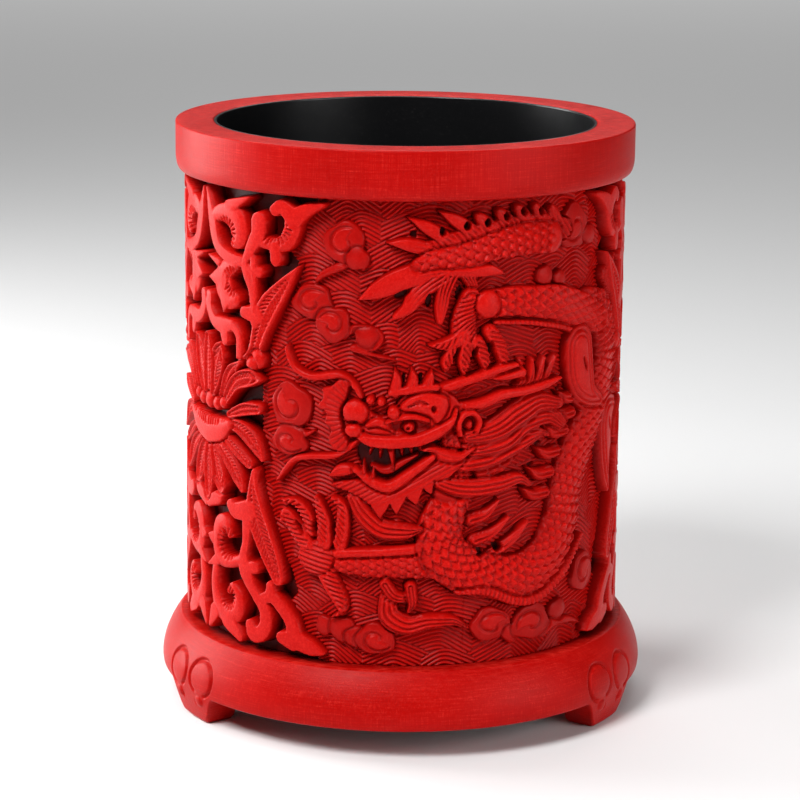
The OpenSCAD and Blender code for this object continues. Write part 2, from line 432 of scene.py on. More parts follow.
class Finish:                                  # one material being built
    def __init__(self, name, constants):
        self.material = bpy.data.materials.new(name)
        self.material.use_nodes = True
        self.tree = self.material.node_tree
        self.shader = self.tree.nodes["Principled BSDF"]
        for socket, value in constants.items():
            self.shader.inputs[socket].default_value = value

    def plug(self, socket, value):
        if isinstance(value, Wire):
            self.tree.links.new(value.socket, socket)
        else:
            socket.default_value = value

    def add(self, kind, settings=None, inputs=None, out=0):
        node = self.tree.nodes.new(kind)
        for key, value in (settings or {}).items():
            setattr(node, key, value)
        for key, value in (inputs or {}).items():
            self.plug(node.inputs[key], value)
        return Wire(self, node.outputs[out])

    def noise(self, scale, detail=2.0, stretch=(1, 1, 1), roughness=0.5):
        place = self.add("ShaderNodeTexCoord", out="Object")
        place = self.add("ShaderNodeVectorMath", {"operation": "MULTIPLY"}, {0: place, 1: stretch})
        return self.add("ShaderNodeTexNoise", {}, {"Vector": place, "Scale": scale, "Detail": detail,
                                                   "Roughness": roughness})

    def mix(self, factor, a, b):
        return self.add("ShaderNodeMix", {"data_type": "RGBA"}, {0: factor, 6: a, 7: b}, out=2)

    def radius(self):                          # distance from the pot's axis, in metres
        place = self.add("ShaderNodeTexCoord", out="Object")
        flat = self.add("ShaderNodeVectorMath", {"operation": "MULTIPLY"}, {0: place, 1: (1, 1, 0)})
        return self.add("ShaderNodeVectorMath", {"operation": "LENGTH"}, {0: flat}, out="Value")

    def bump(self, height, strength, distance):
        bump = self.add("ShaderNodeBump", {}, {"Strength": strength, "Distance": distance, "Height": height})
        self.plug(self.shader.inputs["Normal"], bump)

    def drive(self, inputs):
        for socket, value in inputs.items():
            self.plug(self.shader.inputs[socket], value)


carvedLook = {
    "pitShade": (0.055, 0.0004, 0.0003, 1), "deepShade": (0.11, 0.0003, 0.0002, 1), "main": (0.46, 0.0020, 0.0009, 1),
    "worn": (0.76, 0.026, 0.018, 1), "roughness": 0.38, "sheen": 0.09,
    "mottleScale": 190, "grainScale": 2600, "pitScale": 1300, "bump": 0.55, "bumpDepth": 0.12 * mm,
}


def carvedRed(name, low, high, wear):
    # low and high: radii in mm between which the lacquer turns from a darker red, painted shade for the
    # recesses, to its open colour;
    # the cuts that go deeper still are painted near black as painted shade
    f = Finish(name, {"Specular IOR Level": carvedLook["sheen"]})
    height = ((f.radius() - low * mm) * (1 / ((high - low) * mm))).clamp()
    mottle = f.noise(carvedLook["mottleScale"], 4.0)
    grain = f.noise(carvedLook["grainScale"], 4.0, roughness=0.75)
    pits = f.noise(carvedLook["pitScale"], 2.0)
    # painted shade: the lower a surface lies, the darker its red, with random mottling mixed in
    body = f.mix((height * 0.85 + mottle * 0.3).clamp(), carvedLook["deepShade"], carvedLook["main"])
    # painted shade: below the low radius the colour goes near black
    pitShade = (((low - 0.12) * mm - f.radius()) * (1 / (0.3 * mm))).clamp()
    body = f.mix(pitShade, body, carvedLook["pitShade"])
    worn = ((grain * 0.6 + pits * 0.4 - 0.43) * 4.0).clamp() * height * height * wear
    f.drive({"Base Color": f.mix(worn, body, carvedLook["worn"]),
             "Roughness": (carvedLook["roughness"] + 0.18 * (mottle - 0.5) + 0.22 * (grain - 0.5)).clamp()})
    f.bump(grain * 0.6 + pits * 0.5 + mottle * 0.4, carvedLook["bump"], carvedLook["bumpDepth"])
    return f.material


plainLook = {
    "low": (0.30, 0.001, 0.0005, 1), "high": (0.46, 0.002, 0.001, 1), "rubbed": (0.70, 0.035, 0.024, 1),
    "roughness": 0.38, "sheen": 0.08, "bump": 0.6, "bumpDepth": 0.12 * mm,
    "cloudScale": 75, "lineScale": 150, "grainScale": 2300, "fleckScale": 420,
    "lineRub": 0.34, "grainRub": 0.16, "topRub": 0.6,
}


def plainRed(name):
    # satin bands: fine crossed sanding lines, cloudy patches, paler rubbed flecks on the flat tops
    f = Finish(name, {"Specular IOR Level": plainLook["sheen"]})
    cloud = f.noise(plainLook["cloudScale"], 4.0, roughness=0.6)
    level = f.noise(plainLook["lineScale"], 3.0, stretch=(1, 1, 30), roughness=0.7)
    upright = f.noise(plainLook["lineScale"], 3.0, stretch=(26, 26, 0.8), roughness=0.7)
    grain = f.noise(plainLook["grainScale"], 3.0, roughness=0.75)
    fleck = f.noise(plainLook["fleckScale"], 5.0, stretch=(1, 2.4, 1), roughness=0.75)
    weave = level * 0.5 + upright * 0.5
    normal = f.add("ShaderNodeNewGeometry", out="Normal")
    up = f.add("ShaderNodeSeparateXYZ", {}, {0: normal}, out="Z").clamp()
    body = f.mix((cloud * 0.7 + weave * 1.5 - 0.62).clamp(), plainLook["low"], plainLook["high"])
    rubbed = (((weave - 0.53) * 9.0).clamp() * plainLook["lineRub"]
              + ((grain - 0.55) * 5.0).clamp() * plainLook["grainRub"]
              + ((fleck - 0.47) * 6.0).clamp() * up * up * up * plainLook["topRub"])
    f.drive({"Base Color": f.mix(rubbed.clamp(), body, plainLook["rubbed"]),
             "Roughness": (plainLook["roughness"] + 0.30 * (weave - 0.5) + 0.16 * (cloud - 0.5)
                           + 0.14 * (grain - 0.5)).clamp()})
    f.bump(weave * 1.2 + grain * 0.3 + cloud * 0.4 + fleck * up * 0.5, plainLook["bump"],
           plainLook["bumpDepth"])
    return f.material


blackLook = {"black": (0.003, 0.003, 0.0035, 1), "dust": (0.03, 0.028, 0.028, 1), "roughness": 0.20,
             "sheen": 0.35, "coat": 0.2, "coatRoughness": 0.12, "driftScale": 45, "dustScale": 1700}


def blackLacquer(name):
    f = Finish(name, {"Specular IOR Level": blackLook["sheen"], "Coat Weight": blackLook["coat"],
                      "Coat Roughness": blackLook["coatRoughness"]})
    drift = f.noise(blackLook["driftScale"], 3.0)
    dust = f.noise(blackLook["dustScale"], 2.0, roughness=0.7)
    f.drive({"Base Color": f.mix(((dust - 0.6) * 4.0).clamp() * 0.4, blackLook["black"], blackLook["dust"]),
             "Roughness": (blackLook["roughness"] + 0.18 * drift + 0.08 * dust).clamp()})
    f.bump(drift + dust * 0.05, 0.35, 0.6 * mm)
    return f.material


woodLook = {"dark": (0.30, 0.17, 0.08, 1), "light": (0.58, 0.40, 0.22, 1), "roughness": 0.55, "sheen": 0.3,
            "ringScale": 60, "fibreScale": 900}


def turnedWood(name):
    f = Finish(name, {"Specular IOR Level": woodLook["sheen"]})
    rings = f.noise(woodLook["ringScale"], 3.0, stretch=(6, 6, 0.35))
    fibre = f.noise(woodLook["fibreScale"], 2.0, stretch=(1, 1, 0.06))
    f.drive({"Base Color": f.mix((rings * 0.8 + fibre * 0.3).clamp(), woodLook["dark"], woodLook["light"]),
             "Roughness": (woodLook["roughness"] + 0.25 * fibre).clamp()})
    f.bump(fibre, 0.4, 0.2 * mm)
    return f.material


plainFinish = plainRed("plain_red_lacquer")
groundFinish = carvedRed("ground_red_lacquer", pot["groundR"] - 0.75, pot["groundR"] + 0.1, wear=0.22)
carvedFinish = carvedRed("carved_red_lacquer", pot["groundR"] - 0.2, pot["drumR"] - 0.4, wear=0.4)
blackFinish = blackLacquer("black_lacquer")
woodFinish = turnedWood("turned_wood")
print("finishes made")


# the carved ground: overlapping hills of water lines
water = {"spacing": 12.6, "rise": 5.4, "slope": 0.56, "nose": 2.8, "pitch": 0.92, "depth": 0.5,
         "reach": 11.0, "underLotus": 1.15, "underDragon": 1.12, "cell": (0.23, 0.2)}
# half the width of a lotus panel at each distance from its middle height
lotusEdge = ((0, 17.0), (12, 17.0), (22, 20.0), (31, 25.5), (35.5, 27.0), (38, 24.5), (42, 27.0),
             (49.9, 32.5))


# mm inside the outline of a lotus panel, less than 0 outside
def inLotus(sAt, zAt):
    v = np.abs(zAt - midZ)
    reach = np.interp(v, [p[0] for p in lotusEdge], [p[1] for p in lotusEdge])
    inside = np.full(sAt.shape, -99.0)
    for turn in lotusTurn.values():
        u = sAt - math.radians(turn) * pot["drumR"]
        u = np.mod(u + around / 2, around) - around / 2
        inside = np.maximum(inside, reach - np.abs(u))
    return inside


def waterHeight(s, z):                         # each row of hills lies over the row above it
    sAt, zAt = np.meshgrid(s, z)
    h = np.zeros_like(sAt)
    rng = np.random.default_rng(7)
    columns = int(around / water["spacing"])
    rows = int((wallHigh - wallLow) / water["rise"]) + 3
    for row in range(rows):
        best = np.full_like(h, -1e9)
        below = np.zeros_like(h)
        for k in range(columns):
            jitter = rng.uniform(-1, 1, 6)
            top = wallHigh + 3.0 - row * water["rise"] + 1.7 * jitter[1]
            c = (k + 0.5 * (row % 2) + 0.28 * jitter[0]) * around / columns
            c += around * round((s.mean() - c) / around)
            for at in (c - around, c, c + around):
                j = slice(*np.searchsorted(s, [at - water["reach"], at + water["reach"]]))
                i = slice(*np.searchsorted(z, [top - 15, top + 1]))
                if j.start == j.stop or i.start >= i.stop:
                    continue
                x = sAt[i, j] - at
                slope = water["slope"] * (1 + 0.25 * jitter[2]) + 0.22 * jitter[3] * np.sign(x)
                nose = water["nose"] * (1 + 0.5 * jitter[4])
                drop = top - zAt[i, j] - slope * (np.sqrt(x * x + nose * nose) - nose)
                score = np.where(drop > 0, drop + 1.6 * jitter[5], -1e9)
                wins = score > best[i, j]
                best[i, j] = np.where(wins, score, best[i, j])
                straight = drop / np.sqrt(1 + (slope * x) ** 2 / (x * x + nose * nose))
                below[i, j] = np.where(wins, straight, below[i, j])
        line = water["depth"] * ridge(below / water["pitch"])
        shade = -0.10 * np.exp(-below / 1.2)
        h = np.where(best > -1e8, line + shade, h)
    return h


lotusCarving = {"top": 2.66, "seedTop": 2.55, "leafSink": 0.12, "petalSink": 0.55, "notch": 1.0,
                "cell": (0.2, 0.21)}


def lotusSheet():
    # the right half is carved, with heights from the middle of the wall, then mirrored for the left
    sheet = Sheet(-36.0, 36.0, *lotusCarving["cell"])
    top = lotusCarving["top"]

    def cut(rows, surface=None, crown=0.12, join=True):
        rows = [(u, v + midZ, w) for u, v, w in rows]
        join = join and surface not in (leaf, petal)
        lay(sheet, stroke(sheet, rows), top, crown, surface, ramp=0.3, moat=0.5, moatDepth=1.0, join=join)

    def blob(u, v, r, height=top):
        lay(sheet, disc(sheet, u, v + midZ, r), height, 0.9, ramp=0.36, moat=0.4, moatDepth=0.8)

    leaf = veined(0.9, lotusCarving["leafSink"], 1.0, 1.0, 0.65)
    petal = veined(0.55, lotusCarving["petalSink"], 0.85, 0.9, 0.5)

    def notched(u, v, near, count=18):          # short cuts round the inside of a curl
        return rays(u, v + midZ, count, near - 0.4, near + 1.1, lotusCarving["notch"])

    # stems, leaves and curls above the flower
    cut([(17, 35.5, 2), (17.2, 22, 2.4), (18, 14, 2.2)])
    cut([(28.5, 35, .6), (24.8, 30.5, 3.6), (20.8, 25.5, 5.6), (18.8, 21, 4.6), (17, 16, 3.4),
         (14.5, 14, 1.5)], leaf)
    cut([(17.8, 23.5, 4), (14.3, 23.8, 3)])
    blob(17.6, 14.2, 2.3)
    blob(15.9, 12.9, 1.8)
    cut([(14.3, 34, 2.5), (15.3, 32, 3), (16.6, 29, 2.6), (17, 25.5, 2.2), (17.3, 22, 2.5)])
    cut([(15.8, 33, 2.5), (18.5, 32.8, 2.6)])
    cut([(6.3, 30, 5), (1.6, 29.6, .6)])
    cut([(7.8, 26, 4), (7.5, 22.8, .6)])
    cut([(5.3, 33.2, 2), (1.5, 34.3, .8)])
    cut([(11.5, 33.3, 2.4), (7.3, 31.5, 5), (6.8, 28.5, 6.5), (8.8, 26, 5), (11, 26, 3.6)],
        notched(10.5, 29.8, 2.0), 0.5)
    cut([(0.8, 48.5, 1), (2.8, 42, 3.2), (4.8, 37, 3), (9.3, 34.8, 3), (14.3, 34.3, 2.5)])
    cut([(9.3, 45.5, 3.5), (15.8, 48.2, .8)])
    cut([(2.8, 43, 3), (7.3, 44, 4.5), (11.3, 43, 6), (12.3, 39.5, 5), (10.8, 38, 2.5)],
        notched(8.3, 40, 2.2), 0.5)
    cut([(14.3, 34.5, 2), (16.8, 38.5, 3.5), (18.3, 41, 4), (18.5, 43.6, 4.2)])
    cut([(27.5, 45, 4.5), (30.3, 46.8, 3), (34.5, 48.3, 1)])
    cut([(27, 45.5, 4), (24.5, 47.2, 3.2), (22.9, 46.4, 3)])
    cut([(18.3, 39.5, 3), (22.3, 39, 3), (25.3, 39.8, 4), (26.9, 42.5, 4.2), (27.2, 44.5, 4.5)],
        notched(22.5, 43.5, 3.6, 26), 0.5)
    cut([(22.8, 38.5, 3), (23, 35.8, 2.8)])
    cut([(7.3, 19.3, 3.6), (7.7, 16.8, 2.6)])
    cut([(1.3, 25.5, 2.8), (1.3, 23, 2.8), (3.3, 20.5, 3), (6.8, 19.8, 3.6), (10.3, 20.3, 2.6),
         (12.5, 18.5, 2.4), (12.7, 15, 2.2), (12.3, 12.5, 1.6)])

    # below the flower
    cut([(0.8, -20, 2.4), (2.5, -19, 3), (4.8, -18, 3.4), (5.2, -16.5, 2)])
    cut([(17, -10, 1.6), (16.7, -14, 3), (17.3, -19, 5.5), (19.5, -24, 5.5), (22, -29, 4.6),
         (23.5, -32.5, 3.2)], leaf)
    cut([(15.3, -19, 5), (11.3, -19.7, 4), (9.6, -18.8, 3)])
    cut([(2.3, -27.5, 3), (0.6, -27.2, .8)])
    cut([(4.3, -32, 3), (0.5, -33.8, .8)])
    cut([(13.3, -30.2, 2.6), (9.3, -31.5, 3), (5.3, -31.2, 4), (3.8, -28, 4), (5.3, -24, 4.6),
         (7.8, -23.4, 3), (9, -25.6, 1.8)], notched(8.3, -27.6, 2.4), 0.5)
    cut([(3, -44, 4), (1, -47.5, 1.5)])
    cut([(8.3, -44.5, 5), (12.5, -47.5, 2.5)])
    cut([(3.3, -34, 3), (2.8, -38, 3.4), (4.3, -42, 4.5), (7.8, -43.7, 5), (11.3, -42, 4.6),
         (11.8, -39, 3.6), (10, -37, 2.6), (8.8, -38, 2)], notched(8.3, -39.4, 1.8), 0.5)
    cut([(27.3, -45.7, 4.4), (24.5, -45.2, 3)])
    cut([(18.8, -37.8, 2.6), (21.8, -36.8, 3), (24.3, -38.5, 3), (26.8, -41.5, 3.2), (28, -45, 4),
         (31.3, -46.5, 3.5), (34.3, -47.5, 1)])
    cut([(21.5, -36.5, 3), (21.5, -34.2, 2.2)])
    cut([(14.8, -31.5, 3), (17.1, -31.2, 3)])
    cut([(14.8, -22, 3), (14.5, -26, 2.4), (13.8, -29, 2.8), (14.3, -32, 4.2), (15.8, -35, 3.2),
         (17.8, -37.5, 2.8), (20, -40, 3.4), (20.3, -43, 3.6), (19, -45.3, 3.8), (16.8, -45.8, 4),
         (15.6, -44, 2.6)])

    # the flower, outer petals first
    for rows in ([(8.8, -1, 2.4), (12.5, -1.5, 3.4), (16.5, -3.8, 3.8), (19.3, -7.2, 1.2)],
                 [(6.8, -4, 2), (10.5, -6, 2.8), (15.3, -8.8, 2.4)],
                 [(4.3, -6, 2.4), (8.5, -9, 3.8), (11.8, -12.5, 3.4), (13.3, -15, 1.2)],
                 [(1.5, -7, 3), (3.5, -11, 5), (5.2, -14.5, 4.4), (6.2, -16.5, 1.2)],
                 [(9, 1, 2), (13.5, 2.8, 3), (17.8, 3.5, 2.6)],
                 [(5.8, 4, 2), (9, 10, 3), (12.5, 12.8, 1)],
                 [(7.5, 4, 2.5), (11, 8.2, 3.6), (15, 9.8, 4), (18.7, 9.8, .8)],
                 [(2, 5, 3), (3, 9, 5.6), (4.5, 13, 5), (6, 16, 1)],
                 [(0, 4, 3.6), (0, 12, 4.2), (0, 16.5, 2.4)],
                 [(0, -8, 3), (0, -13, 4.8), (0, -17.5, 3), (0, -19, 1)]):
        cut(rows, petal, 0.3)
    cut([(0, -3.9, 6.2), (5, -3.0, 5.2), (8.6, -1.4, 2.6)],
        lambda m: 0.6 * ridge(m.along) * step(m.across - 1.0), 0.3, join=False)
    for u, v, r in ((0, 2.4, 2.0), (3.5, 2.3, 1.7), (6.2, 2.9, 1.5)):
        blob(u, v, r, lotusCarving["seedTop"])

    half = len(sheet.s) // 2
    for grid in (sheet.h, sheet.cover):
        grid[:, :half] = grid[:, :half:-1]
    return sheet


lotus = lotusSheet()
lotusPieces = {}
for node, turn in lotusTurn.items():
    lotusPieces[node] = carvedFromSheet(node + "_carving", lotus, carvedFinish,
                                        math.radians(turn) * pot["drumR"])
print("lotus panels carved")


dragonCarving = {"top": 2.62, "finTop": 2.0, "scale": 2.0, "scaleDepth": 1.35, "hairDepth": 0.75,
                 "finDepth": 0.75, "cell": (0.21, 0.21)}


def dragonSheet():
    # laid from the low layers to the high ones
    sheet = Sheet(-32.0, 71.0, *dragonCarving["cell"])
    full = dragonCarving["top"]
    scaly = scales(dragonCarving["scale"], dragonCarving["scaleDepth"])
    fine = scales(1.6, 1.1)

    def cut(rows, top=full, crown=0.6, surface=None, **moat):
        lay(sheet, stroke(sheet, rows), top, crown, surface, **moat)

    def hairs(rows, top=2.3, count=4):
        cut(rows, top, 0.5, hair(count, dragonCarving["hairDepth"]))

    def each(group, **how):
        for rows in group:
            cut(rows, **how)

    def ball(s, z, r, rz=None, top=full, crown=1.0, surface=None, turn=0.0):
        lay(sheet, disc(sheet, s, z, r, rz, turn), top, crown, surface)

    def panel(outline, top, crown, surface=None):
        lay(sheet, patch(sheet, outline), top, crown, surface)

    def pit(s, z, r, rz, turn=0.0, floor=-0.85):
        lay(sheet, disc(sheet, s, z, r, rz, turn), floor, 0, ramp=0.3, moat=0.01, moatDepth=0)

    def fins(group, reach=6.0):                # one connected crest of pointed leaves
        for rows in group:
            cut(rows, dragonCarving["finTop"], 0.35, streaks(3, dragonCarving["finDepth"], reach), join=True)

    # crest along the tail: a hatched root and pointed leaves with holes between them
    cut([(38, 112, 5), (31, 113.4, 5), (22, 113, 5), (13, 111.4, 4.6), (5, 109.6, 3.4)], 1.95, 0.2,
        hatch(40, 1.05, 0.7), join=True)
    for s, z, tipS, tipZ in ((35.6, 113.8, 33.4, 117.6), (31.6, 114.4, 28.8, 118.2),
                             (27.4, 114.6, 24.2, 118.2), (23, 114.2, 19.8, 117.6), (18.6, 113.4, 15, 116.8),
                             (15.4, 112.4, 7.0, 117.6), (10, 110.8, 0.6, 116.2), (6, 109.4, -4.0, 111.0)):
        fins([[(s + 1, z - 0.4, 3.0), ((s + tipS) / 2, (z + tipZ) / 2 + 0.3, 3.1), (tipS, tipZ, 0.4)]],
             reach=4.5)
    for s, z in ((31, 116.5), (26.4, 116.7), (22.3, 115.9), (18, 114.8), (13.4, 114.3), (8.2, 113.3),
                 (2.1, 112.6)):
        pit(s, z, 0.8, 0.9)

    # the leafy tail end
    for rows in ([(13, 105.6, 3), (6, 105.4, 4.2), (0, 103.6, 5), (-5, 101.3, 4.2), (-9.9, 98.8, .4)],
                 [(9, 104.6, 4.4), (5, 102, 4.2), (2.4, 99.6, 4.2), (0.8, 97.4, 3), (-1.8, 95.6, 1.6)],
                 [(10, 104.6, 4.2), (8.6, 101, 3.6), (8, 97.6, 3.2), (7.7, 94.6, 1.6)],
                 [(13, 104.8, 3.4), (14.6, 102.4, 2.8), (15.2, 100.4, 1.6)],
                 [(5, 105.4, 3.2), (12, 105.4, 3.8), (18, 105, 3), (21, 104.4, 1.4)]):
        cut(rows, 2.15, 0.3, streaks(5, 0.8, 9.0), join=True)
    for s, z, rs, rz, turn in ((-0.6, 100.2, 1.9, 0.7, 28), (5.4, 99.0, 0.8, 1.5, -10),
                               (12.2, 100.4, 0.8, 1.8, -12)):
        pit(s, z, rs, rz, turn)
    cut([(34, 110.5, 7), (27, 110.8, 7), (20, 109.8, 6.2), (13, 108.3, 5), (6, 107.5, 4), (3, 106.5, 3)],
        surface=scaly)

    # crest on the outside and fins on the inside of the body's curve
    crest = ((100.5, 58.5), (97, 61.3), (93, 63.4), (88.8, 64.8), (84.4, 65.4), (80, 65), (75.6, 63.6),
             (71.2, 61.2))
    cut([(s - 2.6, z - 0.4, 4.4) for z, s in crest], 1.95, 0.2, slant(1.05, 0.8, 0.7), join=True)
    for z, s in crest:
        fins([[(s - 2.4, z + 0.2, 3.2), (s + 0.4, z + 1.3, 2.6), (s + 2.6, z + 3.4, 0.5)]])
        pit(s + 1.5, z + 3.6, 0.6, 0.9)
    inner = ((38.5, 76), (37, 72.5), (34.8, 69), (32.5, 64.8), (30.4, 60.6), (29, 56.4))
    for s, z in inner:
        fins([[(s + 5, z - 0.5, 3.2), (s + 1.2, z - 0.4, 2.8), (s - 1.6, z + 1.4, 0.5)]])
        pit(s + 0.4, z + 1.8, 1.1, 0.5, 20)
    fins([[(15, 52, 3), (18.5, 53, 2.6), (21.5, 56, .7)], [(16, 47.5, 3), (20, 48.8, 2.6), (24, 52, .8)],
          [(20, 44, 3), (25, 47, 2.6), (29, 50.5, .7)], [(13, 57, 3), (16, 58.5, 2.2), (19, 58, .7)]])

    # foreleg, then the body, one long curve from the neck to the rump, with its belly edge
    cut([(7, 43.5, 8), (0, 43, 6.5), (-8, 42.6, 5.6), (-15, 42.8, 4.5)], 2.5, 0.8, fine)
    cut([(5, 47, 1.4), (3.5, 46.4, 2.2), (-5, 45.6, 2.1), (-12, 45, 2.1), (-16.5, 44.2, 1.8)], 2.6, 0.4)
    cut([(11, 57, 8), (8.5, 51, 10), (9, 45.5, 11), (14, 41, 10.5), (21, 39, 10), (29, 38.6, 11),
         (36, 42.5, 11.5), (39.5, 49, 11), (41, 56, 11), (44.5, 63.5, 11.5), (50.5, 70, 10.5), (56, 77, 11),
         (58, 84.5, 11), (54.5, 91.5, 10), (48, 94.5, 8)], 2.7, 1.1, scaly)
    cut([(12, 36.5, 1.2), (19, 36.2, 2.2), (25, 33.6, 2.4), (30, 32.8, 2.4), (35, 34.4, 2.4),
         (41, 38.6, 2.2), (46, 44.5, 1.4)], 2.2, 0.4, ribs(1.1, 0.4))
    for s, z in ((17.5, 44.8), (21.5, 45.6)):
        pit(s, z, 1.0, 1.0)

    # hind leg, knee and spread claw
    cut([(17, 97.5, 6), (24, 98, 6.5), (30, 97.3, 7), (36, 96.5, 8), (42, 94.5, 8.5), (48, 92.3, 8),
         (53, 90.8, 6)], surface=scaly)
    cut([(20, 93.9, 1.3), (28, 93.2, 1.5), (36, 91.6, 1.6), (43, 89.4, 1.3)], 2.1, 0.3, ribs(1.2, 0.3))
    cut([(14.5, 99, 5), (13, 95, 5.5), (13, 91, 6)], 2.4, 0.8, slant(1.05, 0.8, 0.7))
    ball(18.2, 97.8, 3.0, top=2.7)
    each(([(13, 91.5, 3.4), (9.5, 89.8, 3), (5.5, 89.6, .8)], [(12, 90, 3), (9.5, 86.5, 3), (9, 84.2, 1)],
          [(13.5, 89.5, 3.4), (13, 86, 3), (13, 83.4, .9)], [(16, 90, 3.4), (17.5, 86.5, 3), (17.8, 84, .8)],
          [(19, 92, 3.6), (21.5, 88, 3.4), (22.5, 84, 2)]),
         top=2.5, crown=0.6, surface=toeHatch(), join=True)
    for s, z, turn in ((11.3, 87.6, 70), (15.4, 87.4, 80), (19.4, 88.4, 105)):
        pit(s, z, 1.7, 0.45, turn)

    # shoulder and hip plates with their swirls and small fins
    fins([[(47, 72, 2.6), (44, 74.6, 2.4), (41.5, 77, .6)],
          [(50, 70.5, 2.6), (49, 74, 2.2), (46.5, 77.5, .6)],
          [(54, 71, 2.6), (53, 74.5, 2.2), (51, 77.5, .6)],
          [(60, 69, 2.6), (63.5, 72, 2.2), (66.5, 73, .6)],
          [(61, 65, 2.6), (65, 66.5, 2.2), (68.5, 66, .6)]])

    def plate(m):
        return 0.45 * ridge(m.inside / 1.25) * step(2.6 - m.inside, 0.8) * step(m.inside - 0.5)

    cut([(44, 86, 10), (45, 80, 10), (48, 75.5, 6), (53, 73, 3)], 2.3, 0.5, plate)
    cut([(62.5, 70, 5), (59, 68, 9), (58.5, 62, 8), (58.5, 56, 5), (59.5, 52, 2.5)], 2.3, 0.6, plate)
    for s, z in ((45.6, 82.2), (59, 66.5)):
        pit(s, z, 1.6, 0.5, -65, 0.4)

    # hair at the chest and the elbow
    for rows in ([(-10.5, 57, 3.4), (-8, 53, 4.6), (-4, 50.3, 4.6), (1, 50, 3.6), (4.2, 50.6, 1)],
                 [(-3, 35, 4), (-2.5, 31.5, 5), (1, 29.6, 4.6), (6, 30.4, 3.6), (11, 30.4, 2.6),
                  (14.5, 28.8, 1)],
                 [(-3.5, 38.5, 3), (-1.5, 36, 3), (1.5, 35.4, 2)],
                 [(2, 38, 3), (2.5, 34.5, 2.4), (1.5, 32.5, .8)]):
        hairs(rows)

    # palm and toes of the foreleg
    cut([(-17, 41, 4.5), (-15, 37.5, 4.2), (-13, 34, 3.4), (-13, 32, 1.6), (-15, 30.8, .8)], 2.5, 0.8,
        toeHatch())
    ball(-19, 43.5, 4.3, 3.9, 2.5, 0.5, hatch(78, 1.05, 0.65))
    each(([(-13.5, 46.5, 3.4), (-12.8, 51, 3.4), (-13, 55, 2.6), (-15, 56.7, 1.2)],
          [(-19.5, 49, 3), (-21.5, 53, 3), (-24, 54.8, 2), (-27, 54.8, 1)],
          [(-21, 46, 4), (-23.5, 49, 4), (-26, 52, 3), (-27, 50.5, 1)],
          [(-17, 47, 4), (-17, 51, 3.6), (-18, 54.5, 2.4), (-18.8, 56.6, 1)]),
         top=2.55, crown=0.6, surface=toeHatch(), join=True)
    for s, z, turn in ((-14.9, 49.4, 95), (-19, 49.6, 100), (-22.6, 49.6, 125)):
        pit(s, z, 1.6, 0.45, turn)

    # mane, in long combed locks that sweep back
    cut([(10, 60, 8), (12, 66, 9), (14, 72, 8)], 1.7, 0.3, fine)
    cut([(18, 62.5, 4.4), (22, 64, 4.4), (26, 65.6, 2)], 1.9, 0.4, fine)
    for rows, count in (([(8, 60.5, 3), (13, 59, 4), (20, 59, 4), (26, 60, 3), (29, 58.5, 1.5)], 4),
                        ([(11, 64.5, 4), (18, 65.5, 5.5), (25, 68, 5.5), (31, 69.3, 3), (34, 68.5, 1)], 5),
                        ([(15, 67.5, 4), (22, 69, 6), (28, 72.5, 6), (34, 73, 5), (38, 70.5, 3)], 6),
                        ([(14, 70, 3), (20, 71, 5), (26, 74, 6), (31, 76, 5), (37, 75, 3)], 5)):
        hairs(rows, 2.45, count)
    for s in (27, 29.2, 31.4, 33.6):
        fins([[(s - 1.6, 78.8, 2.4), (s, 81.8, 2.2), (s - 1 + (s - 27) * 0.5, 85.6, .6)]])

    # horns
    each(([(18, 82.4, .8), (22, 82.3, 1.8), (26.5, 82.8, 2.4)],
          [(7.5, 80.1, 2.4), (12, 81.6, 2.3), (16.4, 82.7, 2.2), (21, 84, 2), (25, 84.6, 1.4)],
          [(10, 76, 2.4), (17, 77, 2.4), (22, 78.5, 2.4), (27, 78.7, 2.2), (33, 79.5, 2), (37, 80.5, 1)]),
         top=2.6, crown=0.8)

    # whiskers
    each(([(-9, 78.6, 1.4), (-10.6, 81, 1.8), (-14, 82.8, 2), (-20, 82, 2), (-24, 83.5, 1.8),
           (-25.8, 86.5, 1.5), (-26, 88, .8)],
          [(-9, 69.5, 1.4), (-12, 67.3, 1.6), (-15, 65.6, 1.7), (-20, 65, 1.7), (-24, 64, 1.7),
           (-26.5, 61.5, 1.5), (-28.5, 58.8, .8)]),
         top=2.0, crown=0.6)

    # chin beard, with its toothed edge
    teeth = [(10.2, 61.4), (7.0, 60.8), (6.4, 57.6), (4.6, 58.8), (3.2, 55.4), (1.0, 57), (-1.2, 53.2),
             (-2.6, 55.4), (-4.6, 52.4), (-7, 55.4)]
    beard = ([(-15, 60), (-9, 61), (-5, 59.3), (-2, 59.8), (2, 62.5), (8, 67.5), (14, 66)]
             + [tip for tip in teeth for _ in range(2)] + [(-10, 57.5), (-15, 59)])
    panel(beard, 1.95, 0.1, lambda m: (0.4 * ridge((m.sAt * 0.47 - m.zAt * 0.88) / 0.95)
                                       * np.clip(m.zAt * 0.25 - m.sAt * 0.1 - 14.2, 0, 1)))

